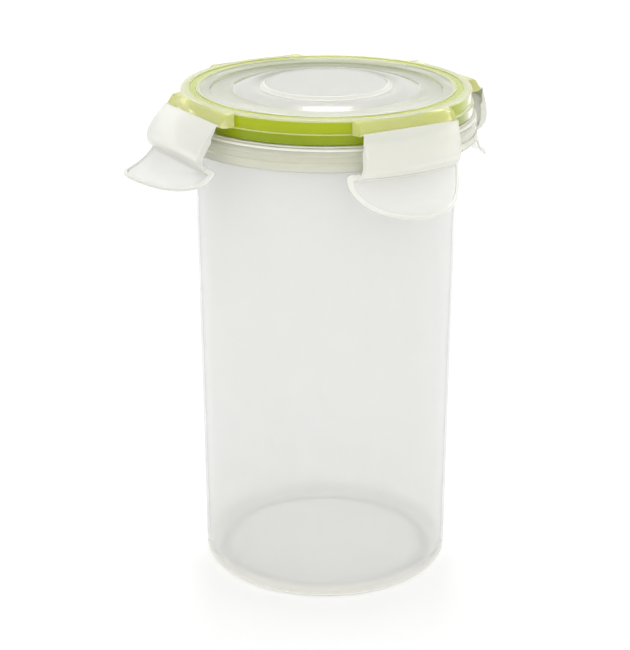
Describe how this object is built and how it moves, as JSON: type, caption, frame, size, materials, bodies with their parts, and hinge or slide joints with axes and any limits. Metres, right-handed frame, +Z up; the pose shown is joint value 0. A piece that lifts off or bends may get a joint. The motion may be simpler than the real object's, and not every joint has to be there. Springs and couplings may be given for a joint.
{
  "type": "food canister",
  "caption": "Tall round translucent food canister; its clear lid carries a green sealing ring and locks onto the rim with hinged flaps.",
  "frame": {"origin": "on the container's axis, in the plane that its foot ring stands on", "axes": "+Z up along the container's axis; the front flap faces -Y, the right flap +X, the back flap +Y and the left flap -X"},
  "size_m": [0.1502, 0.1386, 0.1866],
  "materials": {
    "container": "milky translucent polypropylene with a soft sheen",
    "lid": "clear polypropylene, glossy",
    "seal": "yellow-green silicone, satin",
    "flaps": "clear polypropylene, slightly hazy where thick"
  },
  "bodies": {
    "container": {"container": "container"},
    "lid": {"lid": "lid", "seal_ring": "seal", "hinge_film_front": "flaps", "hinge_film_right": "flaps", "hinge_film_back": "flaps", "hinge_film_left": "flaps"},
    "flap_front": {"flap_front": "flaps"},
    "flap_right": {"flap_right": "flaps"},
    "flap_back": {"flap_back": "flaps"},
    "flap_left": {"flap_left": "flaps"}
  },
  "joints": [
    {"name": "lid_lift", "type": "slide", "parent": "container", "child": "lid", "axis": [0, 0, 1], "range_m": [0, 0.12]},
    {"name": "front_flap_hinge", "type": "hinge", "parent": "lid", "child": "flap_front", "pos_m": [0, -0.0557, 0.18145], "axis": [-1, 0, 0], "range_deg": [-3, 117], "deforming": ["hinge_film_front"]},
    {"name": "right_flap_hinge", "type": "hinge", "parent": "lid", "child": "flap_right", "pos_m": [0.0557, 0, 0.18145], "axis": [0, -1, 0], "range_deg": [-3, 117], "deforming": ["hinge_film_right"]},
    {"name": "back_flap_hinge", "type": "hinge", "parent": "lid", "child": "flap_back", "pos_m": [0, 0.0557, 0.18145], "axis": [1, 0, 0], "range_deg": [-3, 117], "deforming": ["hinge_film_back"]},
    {"name": "left_flap_hinge", "type": "hinge", "parent": "lid", "child": "flap_left", "pos_m": [-0.0557, 0, 0.18145], "axis": [0, 1, 0], "range_deg": [-31, 89], "deforming": ["hinge_film_left"]}
  ]
}
